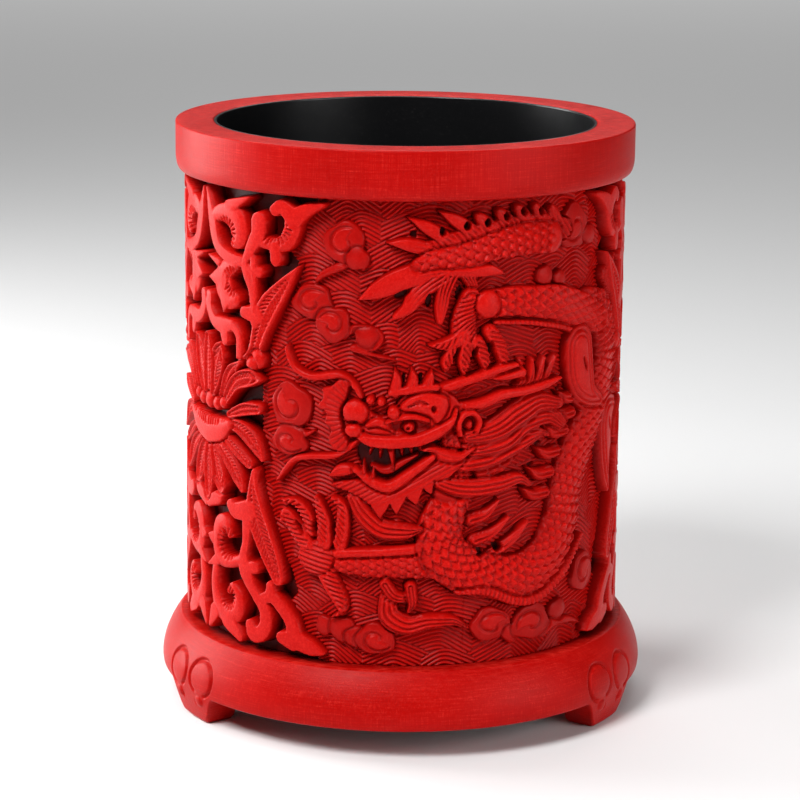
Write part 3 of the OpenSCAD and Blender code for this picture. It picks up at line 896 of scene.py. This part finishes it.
    # open mouth, jaw and teeth
    panel([(-9.6, 64.6), (-7, 62), (-3, 61.2), (3, 64.4), (8.4, 69), (2, 70), (-6, 70), (-10, 68)], -0.75,
          0.0)
    cut([(-6.6, 63.9, 1), (-3.4, 62.9, 1.9), (.4, 64.9, 1.5), (3.2, 66.4, .8)], 1.2, 0.5)
    cut([(4.2, 67.6, .8), (6.4, 67.6, 1.8), (8.6, 66.4, 2.8), (12, 65.8, 2), (15.4, 67.6, .7)], 2.3, 0.4,
        streaks(3, 0.35, 12.0))
    cut([(-16, 61.2, .6), (-13.2, 62.7, 3.0), (-10.2, 63.0, 1.8)], 2.2, 0.4, streaks(3, 0.3, 6.0))
    cut([(-10, 63.1, 1.4), (-7, 60.9, 2.2), (-4.1, 59.7, 2.5), (-2.2, 59.9, 2.5), (1.4, 62.3, 2.3),
         (6.4, 66, 1.6)], 2.45, 0.5)
    for tooth in ([(-8.2, 62.6, 1.2), (-8.5, 65.0, .3)], [(-6.3, 61.8, 1.2), (-6.2, 63.9, .3)],
                  [(-6.6, 68.4, 1.3), (-7.2, 66.2, .3)], [(-4.7, 68.2, 1.3), (-4.9, 65.6, .3)],
                  [(-2.6, 68.2, 1.9), (-1.9, 63.2, .3)], [(-0.3, 68.2, 1.3), (-.1, 66.2, .3)],
                  [(1.7, 68.4, 1.2), (2, 66.7, .3)], [(3.6, 68.6, 1.1), (4, 67.2, .3)]):
        cut(tooth, 1.8, 0.4, moat=0.25)

    # scalloped ruff behind the nose, then the face
    ruff = [(-11.5, 81.4), (-14, 82), (-15.6, 80.6), (-17.7, 79.9), (-17.6, 77.9), (-18.7, 76.2),
            (-16.9, 74.6), (-17.2, 72.4), (-15.8, 71.2), (-16.3, 69), (-14.9, 66.8), (-12.4, 66.9),
            (-11.6, 68.6), (-12.6, 71), (-13.4, 75), (-12, 78.4)]
    panel(ruff, 1.85, 0.2, rays(-7.5, 74.2, 46, 4.6, 9.6, 0.34))
    panel([(-9, 77.5), (-6.5, 75.2), (-3, 75), (0, 79), (5, 80.5), (9, 80), (12, 78), (13, 74), (10.5, 71.5),
           (8, 69.6), (4, 68.8), (0, 68.5), (-4, 68.1), (-7, 68.8), (-9, 70.5), (-12, 71.5), (-12.5, 74)],
          1.9, 0.3)
    cut([(-7.6, 72.6, 1), (-5.4, 73.4, 2), (-3.2, 72.6, 1.6), (-2, 71.4, .6)], 2.3, 0.5)
    for s, z in ((-4.6, 77.7), (-6.9, 78)):
        ball(s, z, 1.05, top=2.5, crown=0.7)
    cut([(-2.6, 79.6, 1.6), (2, 80.4, 2.2), (7, 80.8, 1.8)], 2.3, 0.3)
    for rows in ([(-1.7, 79.9, 2.8), (-1.3, 82.3, 2.3), (-1.8, 84.9, .4)],
                 [(1.8, 80.5, 2.9), (2.2, 82.7, 2.3), (1.8, 85, .4)],
                 [(5.1, 80.8, 2.8), (5.7, 82.6, 2.2), (6.2, 84.5, .4)]):
        cut(rows, 2.3, 0.3, streaks(3, 0.3, 4.0), join=True)
    for s, z in ((0.3, 82.6), (3.9, 82.8)):
        pit(s, z, 0.5, 1.2)
    # brow, with its three-cornered hole
    panel([(-0.8, 76.2), (1.2, 78.8), (4.4, 79.8), (7.2, 79.6), (9.6, 78.4), (9.4, 75.8), (7.4, 73.1),
           (5.6, 74.7), (2.6, 75.6)], 2.65, 0.6)
    pit(6.5, 76.3, 0.55, 0.8, 20, 1.2)
    cut([(1.2, 76.9, .4), (3.4, 77.8, .9), (5.2, 77.4, .4)], 2.0, 0, moat=0.01)
    # upper lip, eye and ear
    cut([(-9.6, 70.6, 1.6), (-7.1, 69.4, 2.5), (-3.4, 69.1, 2.8), (0.2, 69.3, 2.8), (3.8, 69.8, 2.8),
         (7.4, 71.4, 2.6), (10.6, 73.6, 1.6), (11.4, 76, .8)], 2.6, 0.4)
    cut([(-2.4, 72.3, .7), (1.2, 72.5, 2.7), (5.2, 72.7, .7)], 0.5, 0.0)
    ball(1.3, 72.4, 1.3, 1.25, 2.3, 0.9)
    pit(1.1, 72.2, 0.4, 0.4, 0, 1.2)
    cut([(-3.4, 73.4, .8), (-1, 74.3, 1.3), (2.2, 74.7, 1.4), (5.4, 73.9, .9)], 2.65, 0.4, moat=0.3)
    cut([(12.4, 70.6, 1.2), (12, 73, 1.4), (13.2, 74.9, 1.5), (15.4, 75, 1.5), (16.6, 73.2, 1.4),
         (16, 71.2, 1)], 2.6, 0.4)
    ball(14.3, 72.6, 1.0, 1.2, 1.9, 0.5)
    # nose
    ball(-10.2, 75.3, 2.9, 2.8, 2.7, 1.0)
    ball(-10.6, 71.4, 2.0, 1.6, 2.6, 0.8)
    pit(-11, 73.1, 1.5, 0.42, 8, 0.5)
    ball(-2, 75.5, 1.5, top=2.65, crown=0.7)
    return sheet


dragon = dragonSheet()
print("dragon carved")

cloudCarving = {"top": 1.35, "scallop": 0.06, "overlap": 12.6, "cell": (0.21, 0.21)}


# each cloud's s and z, its half width and half height, the way it curls, its turn and its levels
frontClouds = (
    (-13, 110.5, 4.8, 4.6, 1, 60, 2), (-10, 107.2, 2.8, 2.6, -1, 20, 1), (-20.3, 97.7, 5, 3.9, 1, 40, 2),
    (-15.5, 93.3, 4.1, 3.9, -1, 200, 2), (-8, 91, 2.8, 2.4, 1, 90, 1), (-25.5, 75.2, 5.3, 5.1, 1, 120, 2),
    (-26, 67.6, 4.8, 3.4, -1, 30, 2), (-17, 28.4, 2.5, 2.4, 1, 0, 1), (-13, 28, 3.1, 3, -1, 90, 1),
    (-10, 26.4, 2.6, 2.5, 1, 180, 1), (-5.5, 26.3, 4.6, 3.6, -1, 30, 2), (20.5, 28.6, 5.2, 3.8, 1, 20, 2),
    (25.6, 26, 2.6, 2.3, -1, 90, 1), (31, 27.8, 5.4, 4.2, -1, 160, 2), (39, 29.2, 3, 2.4, 1, 60, 1),
    (42, 112, 5.2, 5, 1, 150, 2), (48, 109.6, 2.8, 2.4, -1, 60, 1), (48.5, 35.5, 4.6, 4.6, 1, 30, 2),
    (33, 102.5, 2.5, 2.4, 1, 60, 1), (37.5, 101.5, 2.1, 2, -1, 60, 1))
rearClouds = ((-38, 80, 5, 4, 1, 40, 2), (-41, 64, 4.6, 4.6, -1, 100, 2), (-36, 50, 5, 4.2, 1, 200, 2),
              (72, 62, 4.6, 4.4, -1, 60, 2), (75, 78, 5, 4.4, 1, 150, 2), (70.5, 46, 5, 4, -1, 20, 2),
              (58, 111, 5, 4.4, 1, 80, 2), (63, 108, 2.8, 2.4, -1, 60, 1))


def cloudSheet(clouds):
    # a wider stretch of wall than the dragon's, on the same cells
    sheet = Sheet(dragon.s[0] - cloudCarving["overlap"], dragon.s[-1] + cloudCarving["overlap"],
                  *cloudCarving["cell"])
    top = cloudCarving["top"]

    def tail(rows):
        lay(sheet, stroke(sheet, rows), top, 0.4, join=True)

    def curl(s, z, rs, rz, flip, start, levels):  # 2 levels is a scroll, 1 is a plain bud
        mark = disc(sheet, s, z, rs, rz)
        angle = np.arctan2(mark.v, mark.u) + math.radians(start)
        lobes = np.cos(3 * angle) + 0.7 * np.cos(5 * angle + s)
        mark.inside = mark.inside + cloudCarving["scallop"] * mark.half * lobes
        surface = comma(flip, start) if levels > 1 else None
        lay(sheet, mark, top + 0.12 * (levels - 1), 0.55, surface, moat=0.4, moatDepth=0.7)

    tail([(-13, 106, 2.4), (-15, 105, 2.2), (-18, 103.5, 1.8), (-19.6, 101.6, .7)])
    tail([(-13, 90.5, 1), (-11, 92.5, 2), (-7, 92.5, 2), (-5, 91, 2), (-6.5, 89, 2), (-11, 88.5, 1.6),
          (-2, 86.5, .8)])
    tail([(-25, 71, 2), (-22, 69.5, 1.6), (-19.6, 70.5, .7)])
    tail([(34, 25, 3), (38, 26.4, 2.6), (43, 26, 2), (47, 24.4, .8)])
    for cloud in clouds:
        curl(*cloud)
    return sheet


def cloudPiece(name, sheet, shift):
    # clouds lie under the dragon, so they stop where it starts
    hidden = np.zeros_like(sheet.h, bool)
    j = int(np.argmin(np.abs(sheet.s - dragon.s[0])))
    hidden[:, j:j + dragon.h.shape[1]] = dragon.cover > 0.02
    sheet.h[hidden] = -embed
    return carvedFromSheet(name, sheet, carvedFinish, shift)


halfTurn = around / 2
dragonPieces = {"dragon_front": carvedFromSheet("dragon_front_carving", dragon, carvedFinish),
                "dragon_rear": carvedFromSheet("dragon_rear_carving", dragon, carvedFinish, halfTurn)}
cloudPieces = {"clouds_front": cloudPiece("clouds_front_carving", cloudSheet(frontClouds), 0.0),
               "clouds_rear": cloudPiece("clouds_rear_carving", cloudSheet(frontClouds + rearClouds),
                                         halfTurn)}
print("clouds carved")


# where a dragon covers the ground, which is cut back there
def underDragon(sAt, zAt):
    hidden = np.zeros(sAt.shape, bool)
    i = np.clip(np.searchsorted(dragon.z, zAt[:, 0]), 0, len(dragon.z) - 1)
    for shift in (0.0, halfTurn):
        u = np.mod(sAt[0] - shift + around / 2, around) - around / 2
        j = np.clip(np.searchsorted(dragon.s, u), 0, len(dragon.s) - 1)
        within = (u > dragon.s[0]) & (u < dragon.s[-1])
        hidden |= (dragon.cover[np.ix_(i, j)] > 0.6) & within[None]
    return hidden


# the ground is made in four parts that meet edge to edge
groundParts = []
groundCuts = [math.radians(lotusTurn["lotus_left"]) * pot["drumR"], 14.0,
              math.radians(lotusTurn["lotus_right"]) * pot["drumR"], 14.0 + around / 2]
groundCuts.append(groundCuts[0] + around)
for k, (s0, s1) in enumerate(zip(groundCuts[:-1], groundCuts[1:])):
    s = np.linspace(s0, s1, int((s1 - s0) / water["cell"][0]) + 1)
    z = np.linspace(wallLow, wallHigh, int((wallHigh - wallLow) / water["cell"][1]) + 1)
    sAt, zAt = np.meshgrid(s, z)
    plain = step(inLotus(sAt, zAt), 0.5)
    h = waterHeight(s, z) * (1 - plain) - water["underLotus"] * plain
    h = np.where(underDragon(sAt, zAt), -water["underDragon"], h)
    everywhere = np.ones((len(z) - 1, len(s) - 1), bool)
    groundParts.append(carvedSolid("ground_%d" % (k + 1), s, z, pot["groundR"] - 0.02 + h, everywhere,
                                   groundFinish))
print("ground carved")


def arc(cr, cz, radius, start, end, count):    # points on an arc of [r, z], angles in degrees from +r
    turns = [math.radians(start + (end - start) * k / count) for k in range(count + 1)]
    return [(cr + radius * math.cos(t), cz + radius * math.sin(t)) for t in turns]


rim = {"tuck": 1.0, "tuckHeight": 3.2, "edge": 0.4, "lipStart": 2.2, "lipEnd": 2.0, "bore": 0.02,
       "wobble": 0.04, "segments": 480}


def rimProfile():
    r, z0, z1 = pot["rimR"], pot["rimZ"], pot["lipZ"]
    bore = pot["liningR"] + rim["bore"]
    points = [(bore, z1 - 0.3), (bore, z0 + 0.02), (r - rim["tuck"] - 0.25, z0 + 0.02)]
    for k in range(9):
        t = math.radians(90 * k / 8)
        rise = rim["tuckHeight"] * (1 - math.cos(t))
        points.append((r - rim["tuck"] * (1 - math.sin(t)), z0 + 0.12 + rise))
    points += [(r, z0 + rim["tuckHeight"] + 2.5)]
    points += arc(r - rim["edge"], z1 - rim["edge"], rim["edge"], 0, 90, 5)
    points += [(r - rim["lipStart"], z1 - 0.02), (pot["liningR"] + rim["lipEnd"], z1 - 0.03),
               (pot["liningR"] + 0.5, z1 - 0.1)]
    return points


def handTurned(amount, seed):                  # a turned part is never perfectly round or level; this wobbles only its radius
    rng = np.random.default_rng(seed)
    phase = rng.uniform(0, 2 * math.pi, 4)

    def wobble(angle, r, z):
        wave = sum(np.sin(k * angle + phase[k - 2]) / k for k in (2, 3, 5))
        return r + amount * wave * (r > 1), z
    return wobble


rimPiece = lathe("rim_band_turned", rimProfile(), plainFinish, rim["segments"], handTurned(rim["wobble"], 3))


lining = {"drop": 0.2, "corner": 2.4, "lip": 0.3}


def liningProfile():                           # the well's corner is rounded, and so is its lip
    ri, ro, z1 = pot["wellR"], pot["liningR"], pot["lipZ"] - lining["drop"]
    z0, zf = floorLow[2], floorHigh[2]
    corner, lip = lining["corner"], lining["lip"]
    sides = [(ri, zf + corner + (z1 - 0.4 - zf - corner) * k / 12) for k in range(13)]
    return ([(0, z0), (ro, z0), (ro, z1 - 0.05)] + arc(ro - lip, z1 - lip, lip, 45, 90, 2)
            + arc(ri + lip, z1 - lip, lip, 90, 180, 4) + sides[::-1]
            + arc(ri - corner, zf + corner, corner, -90, 0, 7)[::-1]
            + [(ri * k / 6, zf) for k in (5, 4, 3, 2, 1)] + [(0, zf)])


liningPiece = lathe("black_lining", liningProfile(), blackFinish, 256)

r, z = underHigh[0], underLow[2]               # the underside has a low lip at its edge
undersideProfile = [(0, underHigh[2]), (r, underHigh[2]), (r, z - 0.2), (r - 1.5, z + 0.1),
                    (r * 0.5, z + 0.12), (0, z)]
undersidePiece = lathe("underside_disc", undersideProfile, blackFinish, 192)


# the base band and feet are one lacquered skin: cross-sections whose lower edge drops at each foot
base = {"topR": 49.55, "widest": 8.2, "edge": 0.7, "footEdge": 0.7, "lean": 1.7, "footTop": 9.6,
        "footTip": 4.9, "ringOut": 5.3, "ringZ": 12.2, "ringR": (4.3, 3.9), "ringCut": 0.75, "beadZ": 6.9,
        "beadOut": 4.6, "beadR": 1.35, "segments": 1800}
footTurns = [math.radians(t) for t in (-60.0, 60.0, 180.0)]


def footDrop(angle):                           # 1 at the middle of a foot, 0 between the feet
    drop = np.zeros_like(angle)
    for t in footTurns:
        away = np.abs(np.mod(angle - t + math.pi, 2 * math.pi) - math.pi) * (pot["baseR"] - 1.5)
        x = np.clip((base["footTop"] - away) / (base["footTop"] - base["footTip"]), 0, 1)
        drop = np.maximum(drop, x * x * (3 - 2 * x))
    return drop


def basePoints(angle):
    # r and z of every cross-section: outside from the top down, then the inside going up
    drop = footDrop(angle)
    low = pot["baseZ"] * (1 - drop)
    high, br, wide = pot["ledgeZ"] - 0.02, pot["baseR"] - 0.05, base["widest"]
    back = underHigh[0]
    t = np.linspace(0, 1, 44)
    slope = [(base["topR"] + (br - base["topR"]) * math.sin(math.pi / 2 * k) ** 0.86,
              high - 0.3 - (high - 0.3 - wide) * k) for k in t]
    outer = np.array([(back + 0.08, high), (base["topR"] - 0.9, high), (base["topR"] - 0.3, high - 0.04),
                      (base["topR"] - 0.05, high - 0.16)] + slope)
    r = np.repeat(outer[:, 0][None], len(angle), 0)
    z = np.repeat(outer[:, 1][None], len(angle), 0)
    # from the widest place down to the lower edge
    run = np.linspace(0, 1, 35)[None, 1:]
    edge = (base["edge"] + base["footEdge"] * drop)[:, None]
    zz = wide + (low[:, None] + edge - wide) * run
    rr = br - base["lean"] * np.clip((wide - zz) / wide, 0, 1) ** 1.3
    turn = np.radians(np.linspace(0, 90, 7))[None, 1:]
    rEdge = rr[:, -1:] - edge * (1 - np.cos(turn))
    zEdge = zz[:, -1:] - edge * np.sin(turn)
    side = np.full(len(angle), back)
    inner = np.stack([side + 1.6, side + 0.9, side + 0.02, side + 0.02], 1)
    innerZ = np.stack([zEdge[:, -1], zEdge[:, -1] + 0.3, np.full(len(angle), underLow[2] - 0.2),
                       np.full(len(angle), high - 0.4)], 1)
    return np.concatenate([r, rr, rEdge, inner], 1), np.concatenate([z, zz, zEdge, innerZ], 1)


def footCarving(angle, z, r):                  # the two open rings on each foot, and the bead under each
    cut = np.zeros_like(r)
    for t in footTurns:
        x = (np.mod(angle - t + math.pi, 2 * math.pi) - math.pi)[:, None] * pot["baseR"]
        for side in (-1, 1):
            u = (x - side * base["ringOut"]) / base["ringR"][0]
            v = (z - base["ringZ"] - baseline) / base["ringR"][1]
            rho = np.hypot(u, v)
            line = np.clip(1 - np.abs(rho - 1) / 0.15, 0, 1)
            gap = step(0.42 - np.hypot(u + side * 0.15, v + 1), 0.3)
            cut -= base["ringCut"] * line * (1 - gap)
            cut += 0.14 * np.exp(-(rho / 0.8) ** 6)
            bead = np.hypot(x - side * base["beadOut"], (z - base["beadZ"] - baseline) * 1.1)
            cut += 0.5 * np.sqrt(np.clip(1 - (bead / base["beadR"]) ** 2, 0, 1))
            nick = np.hypot(x - side * (base["beadOut"] - 1.6), (z - base["beadZ"] - baseline + 0.5) * 0.6)
            cut -= 0.4 * np.clip(1 - nick / 0.55, 0, 1)
    return cut


def baseBand():
    angle = np.arange(base["segments"]) * 2 * math.pi / base["segments"]
    r, z = basePoints(angle)
    columns = r.shape[1]
    outside = (np.arange(columns) < columns - 4) & (np.arange(columns) > 3)   # not the ledge or the inside
    r = np.where(outside, r + footCarving(angle, z, r), r)
    r = np.minimum(r, pot["baseR"] + 0.35)
    co = np.stack([r * np.sin(angle)[:, None], -r * np.cos(angle)[:, None], z], -1).reshape(-1, 3)
    i, j = np.arange(len(angle))[:, None], np.arange(columns)[None]
    i1, j1 = (i + 1) % len(angle), (j + 1) % columns
    quads = np.stack([i * columns + j, i * columns + j1, i1 * columns + j1, i1 * columns + j],
                     -1).reshape(-1, 4)
    count = len(quads)
    return meshFrom("base_band_and_feet", co, quads.ravel(), np.full(count, 4), np.ones(count, bool),
                    plainFinish)


basePiece = baseBand()
print("bands, lining and feet made")


everyPiece = []


# what a piece rides on, and the nodes it stands for
def stands(piece, finish, *nodes):
    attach(piece, "root")
    if nodes:
        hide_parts(*nodes)
    everyPiece.append(piece)


for node, piece in {**lotusPieces, **dragonPieces, **cloudPieces}.items():
    stands(piece, "carved_red_lacquer", node)
stands(groundParts[0], "ground_red_lacquer", "carved_ground")
for part in groundParts[1:]:
    stands(part, "ground_red_lacquer")
stands(rimPiece, "plain_red_lacquer", "rim_band")
stands(basePiece, "plain_red_lacquer", "base_band", "foot_left", "foot_right", "foot_rear")
stands(liningPiece, "black_lacquer", "lining_wall", "lining_floor")
stands(undersidePiece, "black_lacquer", "underside_panel")
for node in ("core_tube", "core_floor"):
    for slot in bpy.data.objects[node].material_slots:
        slot.material = woodFinish
print("pieces placed:", len(everyPiece))


# places in metres; each softbox has its place, what it faces, its size and its watts
studio = {
    "floor": 8.0, "floorColour": (0.80, 0.80, 0.80, 1), "floorShade": (0.77, 0.77, 0.77, 1), "world": 0.05,
    "cameraPlace": (0, -0.635, 0.21205), "cameraDown": 12.96, "cameraRoll": 0.55, "lens": 131.82,
    "shift": (-0.00375, -0.0015),
    "softboxes": {"side_light": ((-0.52, 0.20, 0.20), (0, 0, 0.07), (0.34, 0.46), 4.8),
                  "key_light": ((-0.30, -0.42, 0.62), (0, 0, 0.06), (0.26, 0.26), 6.0),
                  "fill_light": ((0.60, -0.40, 0.25), (0, 0, 0.06), (0.40, 0.40), 2.6),
                  "top_light": ((0.05, 0.10, 0.75), (0, 0, 0.1), (0.5, 0.5), 1.2),
                  "backdrop_light": ((0, 3.2, 2.4), (0, 3.0, 0), (3.0, 1.6), 60.0)},
}


def floorPiece():
    f = Finish("studio_floor", {"Specular IOR Level": 0.2})
    cloud = f.noise(2.0, 2.0)
    f.drive({"Base Color": f.mix(cloud, studio["floorColour"], studio["floorShade"]), "Roughness": 0.75})
    e = studio["floor"] / 2
    mesh = bpy.data.meshes.new("studio_floor")
    mesh.from_pydata([(-e, -e, 0), (e, -e, 0), (e, e, 0), (-e, e, 0)], [], [(0, 1, 2, 3)])
    mesh.materials.append(f.material)
    floor = bpy.data.objects.new("studio_floor", mesh)
    bpy.context.scene.collection.objects.link(floor)


def softbox(name, place, aim, size, watts):
    lamp = bpy.data.lights.new(name, "AREA")
    lamp.shape = "RECTANGLE"
    lamp.size, lamp.size_y = size
    lamp.energy = watts
    item = bpy.data.objects.new(name, lamp)
    bpy.context.scene.collection.objects.link(item)
    item.location = place
    away = [a - p for a, p in zip(aim, place)]
    yaw = math.atan2(-away[0], away[1])
    pitch = math.atan2(math.hypot(away[0], away[1]), -away[2])
    item.rotation_euler = (pitch, 0, yaw)


floorPiece()
for name, (place, aim, size, watts) in studio["softboxes"].items():
    softbox(name, place, aim, size, watts)

world = bpy.data.worlds.new("studio")
world.use_nodes = True
world.node_tree.nodes["Background"].inputs["Color"].default_value = (1, 1, 1, 1)
world.node_tree.nodes["Background"].inputs["Strength"].default_value = studio["world"]
bpy.context.scene.world = world

camera = bpy.data.cameras.new("camera")
camera.lens, camera.sensor_width = studio["lens"], 36
camera.shift_x, camera.shift_y = studio["shift"]
camera.clip_start, camera.clip_end = 0.01, 50
eye = bpy.data.objects.new("camera", camera)
eye.location = studio["cameraPlace"]
eye.rotation_mode = "ZXY"
eye.rotation_euler = (math.radians(90 - studio["cameraDown"]), 0, math.radians(studio["cameraRoll"]))
bpy.context.scene.collection.objects.link(eye)
bpy.context.scene.camera = eye
bpy.context.scene.view_settings.view_transform = "Standard"

print("studio set")
